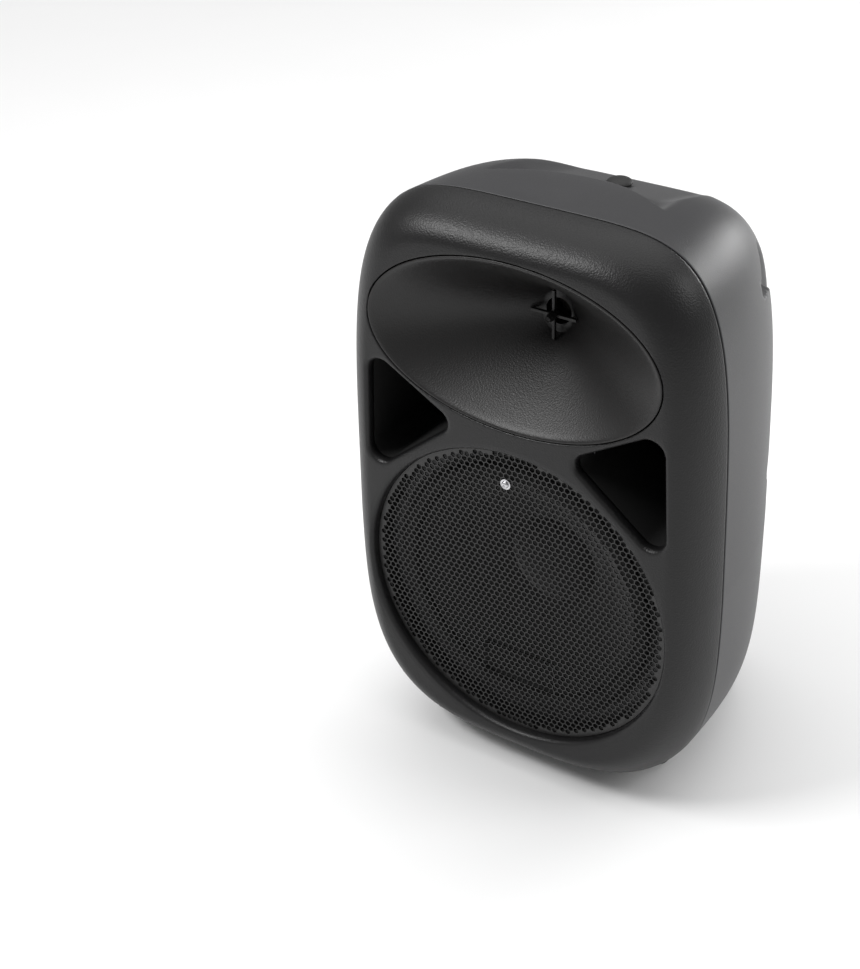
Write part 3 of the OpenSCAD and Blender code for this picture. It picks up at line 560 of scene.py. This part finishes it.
def rear_moulding():
    skin = Skin()
    start = -math.pi / 4
    dense_th, run, th = angles_by_length(620, start)
    length = run[-1]
    y0, y1 = -94.2, 131.0
    ys_in = [(-96.2, 0.9), (-95.9, 0.35), (-95.3, 0.0)]
    rings = []
    for y, tuck in ys_in:
        s = max(0, (y + SEAM_H) / 245)
        x, z = outline(th, rear_d(s) + tuck, tuck, N_LOW + N_GAIN * s)
        rings.append(np.stack([x, np.full_like(x, y), z], 1))
    x, z = rear_ring(th, np.full_like(th, y0))
    rings.append(np.stack([x, np.full_like(x, y0), z], 1))
    skin.loft(rings)

    def a_of(theta):
        return np.interp((theta - start) % TAU + start, dense_th, run)

    def by(y, value, axis, lo, hi):
        """Lengthwise place of the point at depth y whose x (axis 0) or z (axis 1) is value."""
        t = np.linspace(lo, hi, 1500)
        c = rear_ring(t, np.full_like(t, y))[axis]
        order = np.argsort(c)
        return a_of(np.interp(value, c[order], t[order]))

    free = []
    n = 620
    cols = np.arange(1, n) * length / n
    for y in np.arange(y0 + 4, y1 - 2, 4.2):
        free += [(a, y) for a in cols]
    # finer rows across the lip and walls of the top channel
    a_lo, a_hi = sorted((by(0, 100.0, 0, 0.35, 2.8), by(0, -100.0, 0, 0.35, 2.8)))
    for y in np.arange(-44, 12, 1.3):
        free += [(a, y) for a in np.arange(a_lo, a_hi, 2.4)]
    # round the seat of the cap
    for r in (13.6, 14.4, 14.7, 15.6):
        loop = ring_points(r, 72, 0, CAP_Y)
        free += [(by(p[1], p[0], 0, 0.35, 2.8), p[1]) for p in loop]
    # round the side grips
    for e in (-3.0, -1.2, -0.2, 0.5, 1.2, 2.0, 2.8, 3.7, 4.7, 5.8, 7.0, 8.4, 10.0):
        grown = resample(GRIP_LOOP, 2.6)
        tang = np.roll(grown, -1, 0) - np.roll(grown, 1, 0)
        norm = np.stack([tang[:, 1], -tang[:, 0]], 1)
        norm /= np.linalg.norm(norm, axis=1)[:, None]
        sign = -1 if inside(GRIP_LOOP, *(grown + norm * 0.5).T.copy()).mean() > 0.5 else 1
        grown = grown + norm * e * sign
        for y, z in grown:
            if y0 + 3 < y < y1 - 3:
                free.append((by(y, z, 1, -0.75, 1.2), y))
                free.append((by(y, z, 1, math.pi + 0.75, math.pi - 1.2), y))
    hole = np.array([(by(p[1], p[0], 0, 3.6, 5.4), p[1]) for p in ring_points(21.6, 90, 0, SOCKET_Y)])
    edge = np.array([(0, y0)] + [(a, y0) for a in cols] + [(length, y0)]
                    + [(length, y) for y in np.arange(y0 + 4, y1 - 2, 4.2)] + [(length, y1)]
                    + [(a, y1) for a in cols[::-1]] + [(0, y1)]
                    + [(0, y) for y in np.arange(y0 + 4, y1 - 2, 4.2)[::-1]])
    free = np.array(free)
    free = free[(free[:, 0] > 1) & (free[:, 0] < length - 1) & ~inside(hole, free[:, 0], free[:, 1])]
    xy, tri, spans = triangulate([edge, hole], free, lambda a, y: ~inside(hole, a, y), 0.7)
    t = np.interp(xy[:, 0], run, dense_th)
    x, z = rear_ring(t, xy[:, 1])
    x, y, z = sink(x, xy[:, 1], z)
    skin.faces(tri, skin.add(np.stack([x, y, z], 1)))
    # socket hole, turned down into the wall
    ring = skin.add(np.stack([x, y, z], 1)[spans[1]])
    low = skin.add([(x[i], y[i], z[i] + 4) for i in spans[1]])
    skin.strip(ring, low)

    # rounded back edge and flat back with the opening for the panel
    rings = []
    for yy in (131, 134, 137, 139.5, 141.5, 143.2, 144.7, 145.9, 146.9, 147.6, 148):
        x, z = rear_ring(th, np.full_like(th, float(yy)))
        x, yv, z = sink(x, np.full_like(x, float(yy)), z)
        rings.append(np.stack([x, yv, z], 1))
    skin.loft(rings)
    back = rings[-1][:, [0, 2]]
    square = np.array([(-1, -1), (1, -1), (1, 1), (-1, 1)], float)
    corner = soften(square * (PANEL_W / 2, PANEL_T / 2), 9.0, 3.0)
    corner[:, 1] += PANEL_Z
    hole = ring_points(7.3, 48, 0, 446)
    gx, gz = np.meshgrid(np.arange(-85, 86, 6.0), np.arange(36, 480, 6.0))
    free = np.stack([gx.ravel(), gz.ravel()], 1)
    for loop, e in ((corner, 1.0), (hole, 1.0)):
        mid = loop.mean(0)
        free = np.vstack([free, mid + (loop - mid) * (1 + e / 60)])

    def flat(a, b):
        return inside(back, a, b) & ~inside(corner, a, b) & ~inside(hole, a, b)

    free = free[flat(free[:, 0], free[:, 1])]
    xy, tri, spans = triangulate([back, corner, hole], free, flat, 1.0)
    index = skin.add([(p[0], 148.0, p[1]) for p in xy])
    skin.faces(tri, index)
    for span, loop, depths in ((1, corner, (147.6, 145.2)), (2, hole, (147.0, 132.0))):
        ring = [index[i] for i in spans[span]]
        for depth in depths:
            nxt = skin.add([(p[0], depth, p[1]) for p in loop])
            skin.strip(ring, nxt)
            ring = nxt
    return skin.make("rear_moulding", MATS["shell_plastic"], ("rear_shell",),
                     sharp=50, thick=WALL)


def foot_bosses():
    skin = Skin()
    for x in (-FOOT_X, FOOT_X):
        for y, up in zip(FOOT_YS, (24.0, 31.0)):
            turned(skin, [(2.5, 12), (2.5, 8.5), (16.2, 8.5), (16.8, 9.1), (20, up)], y, x, 64, "up")
    return skin.make("foot_bosses", MATS["shell_plastic"], sharp=40)


# ---------------------------------------------------------------- horn, ports, feet, cap
def horn_flare():
    skin = Skin()
    count = 200
    t = np.arange(count) * TAU / count

    def oval(a, b, h):
        return np.stack([a * np.cos(t), np.full(count, -h), HORN_Z + b * np.sin(t)], 1)

    rings = []
    top = FRONT_H - 0.2
    for g, h in ((3.0, 141.0), (3.0, 146.9), (2.8, 147.5), (2.3, 147.8), (1.6, 147.7)):
        rings.append(oval(HORN_A + g, HORN_B + g, h))
    for u in np.concatenate([[0.004, 0.012, 0.025], np.linspace(0.045, 1, 44)]):
        f = (1 - u) ** 1.5
        a = THROAT_A + (HORN_A - THROAT_A) * (0.82 * (1 - u) + 0.18 * f)
        b = THROAT_B + (HORN_B - THROAT_B) * (0.72 * (1 - u) + 0.28 * f)
        lip = 1.3 * math.exp(-u * 60)
        rings.append(oval(a + lip, b + lip, top - (top - THROAT_H) * u))
    # throat flange and its bore
    rings += [oval(THROAT_A - 0.5, THROAT_A - 0.3, THROAT_H - 0.03), oval(12.9, 12.9, THROAT_H - 0.1),
              oval(12.8, 12.8, 51)]
    skin.loft(rings)
    return skin.make("horn_flare", MATS["horn_plastic"], ("horn",), sharp=55, thick=2.4)


def port_tube(side, name, node):
    skin = Skin()
    rings = []
    for grow, h in ((2.6, 137.5), (0.25, 137.5), (0.25, 120), (0.25, 90), (0.25, 60), (0.3, 50),
                    (0.9, 47), (2.0, 45.6), (2.9, 46.2), (2.9, 60), (2.9, 137.5)):
        loop = port_loop(0, side=side)
        mid = np.array([side * 120.0, WOOFER_Z + 163])
        way = loop - mid
        loop = loop + way / np.linalg.norm(way, axis=1)[:, None] * grow
        rings.append([(p[0], -h, p[1]) for p in loop])
    skin.loft(rings)
    return skin.make(name, MATS["duct_plastic"], (node,), sharp=50)


def rubber_feet():
    skin = Skin()
    for x in (-FOOT_X, FOOT_X):
        for y in FOOT_YS:
            turned(skin, [(0.01, 2.2), (4.6, 2.2), (5.0, 1.8), (5.2, 0.5), (5.8, 0), (11.8, 0),
                          (12.8, 0.4), (13.3, 1.2), (15.3, 7.0), (15.2, 7.7), (14.6, 8.0),
                          (0.01, 8.0)], y, x, 64, "up")
    return skin.make("rubber_feet", MATS["rubber"], ("feet",), sharp=40)


def domed_cap():
    skin = Skin()
    dome = [(12.0 * math.sin(a), 554.6 + 4.35 * math.cos(a)) for a in np.radians(np.arange(86, 0, -6))]
    stem = [(3.9, 540), (3.9, 553.0), (11.4, 553.0), (11.9, 553.4)]
    turned(skin, stem + dome + [(0.01, 558.95)], CAP_Y, 0, 96, "up")
    return skin.make("domed_cap", MATS["duct_plastic"], ("top_cap",), sharp=50)


# ---------------------------------------------------------------- grille
PITCH, AF = 6.0, 5.0
BADGE = (3.0, -82.0, 37.5, 17.0)


def grille_mesh():
    """Hexagonal mesh with thin bars, a plain rim, and a shallow blank rectangle for a badge."""
    skin = Skin()
    row = PITCH * math.sqrt(3) / 2
    outer, hole = PITCH / math.sqrt(3), AF / math.sqrt(3)
    rim = OPEN_R - 0.5
    keep_r = rim - 0.5
    front, back = -138.15, -136.8
    corner = {}

    def shared(x, z):
        key = (round(x * 20), round(z * 20))
        if key not in corner:
            corner[key] = len(skin.v)
            skin.v.append((x, front, z + WOOFER_Z))
        return corner[key]

    edges = {}
    for j in range(-40, 41):
        for i in range(-40, 41):
            cx, cz = (i + 0.5 * (j % 2)) * PITCH, j * row
            if math.hypot(cx, cz) + outer > keep_r:
                continue
            ang = [math.radians(60 * k + 30) for k in range(6)]
            big = [shared(cx + outer * math.cos(a), cz + outer * math.sin(a)) for a in ang]
            ring = [(cx + hole * math.cos(a), cz + hole * math.sin(a) + WOOFER_Z) for a in ang]
            small = skin.add([(x, front + 0.06, z) for x, z in ring])
            deep = skin.add([(x, back, z) for x, z in ring])
            skin.strip(big, small)
            skin.strip(small, deep)
            for a, b in zip(big, big[1:] + big[:1]):
                edges[(a, b)] = edges.get((b, a), 0) or 1
                if (b, a) in edges:
                    edges[(a, b)] = edges[(b, a)] = 2
    border = {a: b for (a, b), k in edges.items() if k == 1}
    first = next(iter(border))
    chain, here = [first], border[first]
    while here != first:
        chain.append(here)
        here = border[here]
    inner = np.array([(skin.v[i][0], skin.v[i][2] - WOOFER_Z) for i in chain])
    circle = ring_points(rim, 360)
    xy, tri, spans = triangulate([inner, circle], [], lambda a, b: ~inside(inner, a, b), 0.2)
    index = skin.add([(p[0], front, p[1] + WOOFER_Z) for p in xy])
    skin.faces(tri, index)
    ring = [index[i] for i in spans[1]]
    skin.strip(ring, skin.add([(p[0], back, p[1] + WOOFER_Z) for p in circle]))
    # press the badge area back a little
    bx, bz, bw, bh = BADGE
    v = np.array(skin.v)
    e = np.maximum(np.abs(v[:, 0] - bx) - bw, np.abs(v[:, 2] - WOOFER_Z - bz) - bh)
    v[:, 1] += 1.3 * np.clip(-e / 0.8, 0, 1)
    v[:, 1] -= 1.0 * np.clip(1 - np.abs(e - 1.2) / 1.6, 0, 1)
    skin.v = [tuple(p) for p in v]
    return skin.make("grille_mesh", MATS["grille_paint"], ("grille",), sharp=35)


def grille_bolt():
    """Small pan head screw with a washer, through a hole of the grille."""
    x, z = -10.0, WOOFER_Z + 20 * 3.5 * math.sqrt(3)
    head = [(0.01, 140.3), (0.9, 140.3), (1.1, 140.95), (1.9, 140.8), (2.9, 140.3), (3.4, 139.7),
            (3.5, 139.0)]
    washer = [(3.5, 138.6), (5.2, 138.6), (5.3, 138.3), (5.2, 138.16), (1.9, 138.16)]
    skin = Skin()
    turned(skin, head + washer + [(1.9, 130), (0.01, 130)], z, x, 48)
    return skin.make("grille_bolt", MATS["bright_steel"], ("grille_screw",), sharp=40)


front_moulding()
rear_moulding()
foot_bosses()
horn_flare()
port_tube(-1, "port_tube_left", "port_duct_left")
port_tube(1, "port_tube_right", "port_duct_right")
rubber_feet()
domed_cap()
grille_mesh()
grille_bolt()


# ---------------------------------------------------------------- camera, light, floor
def look_matrix(azimuth, elevation, roll):
    a, e, r = (math.radians(v) for v in (azimuth, elevation, roll))
    back = Vector((math.sin(a) * math.cos(e), -math.cos(a) * math.cos(e), math.sin(e)))
    right = Vector((math.cos(a), math.sin(a), 0))
    up = back.cross(right)
    r2 = right * math.cos(r) + up * math.sin(r)
    u2 = up * math.cos(r) - right * math.sin(r)
    return Matrix((r2, u2, back)).transposed()


camera = bpy.data.objects.new("camera", bpy.data.cameras.new("camera"))
bpy.context.scene.collection.objects.link(camera)
camera.data.lens = 65.9
camera.data.sensor_width = 36
camera.data.clip_end = 50
camera.matrix_world = (Matrix.Translation((0.7074, -1.2708, 1.1994))
                       @ look_matrix(35.255, 32.938, -2.348).to_4x4())
bpy.context.scene.camera = camera


def softbox(name, place, target, size, power, tint=(1, 1, 1)):
    data = bpy.data.lights.new(name, "AREA")
    data.shape, data.size, data.size_y = "RECTANGLE", size[0], size[1]
    data.energy, data.color = power, tint
    lamp = bpy.data.objects.new(name, data)
    bpy.context.scene.collection.objects.link(lamp)
    lamp.location = place
    lamp.rotation_euler = (Vector(target) - Vector(place)).to_track_quat("-Z", "Y").to_euler()


softbox("key", (-1.15, -1.25, 2.05), (0, 0, 0.5), (0.9, 0.55), 34)
softbox("side", (2.2, 0.7, 2.0), (0, 0, 0.3), (0.9, 1.1), 16)
softbox("back", (0.8, 2.4, 0.9), (0.1, 0, 0.45), (1.2, 0.7), 22)
sky = bpy.data.lights.new("sky", "SUN")
sky.energy, sky.angle = 1.6, math.radians(70)
sky_lamp = bpy.data.objects.new("sky", sky)
bpy.context.scene.collection.objects.link(sky_lamp)
sky_lamp.rotation_euler = (math.radians(-14), math.radians(-6), 0)
world = bpy.data.worlds.new("studio")
bpy.context.scene.world = world
world.use_nodes = True
world.node_tree.nodes["Background"].inputs["Color"].default_value = (0.94, 0.94, 0.94, 1)
world.node_tree.nodes["Background"].inputs["Strength"].default_value = 0.36
bpy.context.scene.view_settings.view_transform = "Standard"

floor_mesh = bpy.data.meshes.new("floor")
floor_mesh.from_pydata([(-9, -9, 0), (9, -9, 0), (9, 9, 0), (-9, 9, 0)], [], [(0, 1, 2, 3)])
floor = bpy.data.objects.new("floor", floor_mesh)
bpy.context.scene.collection.objects.link(floor)
pale, pale_tree, pale_bsdf = shader("pale_floor", (0.9, 0.9, 0.9), 0.8)
soft = noise(pale_tree, 3.0, 2.0)
tone = ramp(pale_tree, soft, "Fac", 0.2, 0.8, (0.89, 0.89, 0.89), (0.91, 0.91, 0.91))
link(pale_tree, tone, "Color", pale_bsdf, "Base Color")
floor_mesh.materials.append(pale)
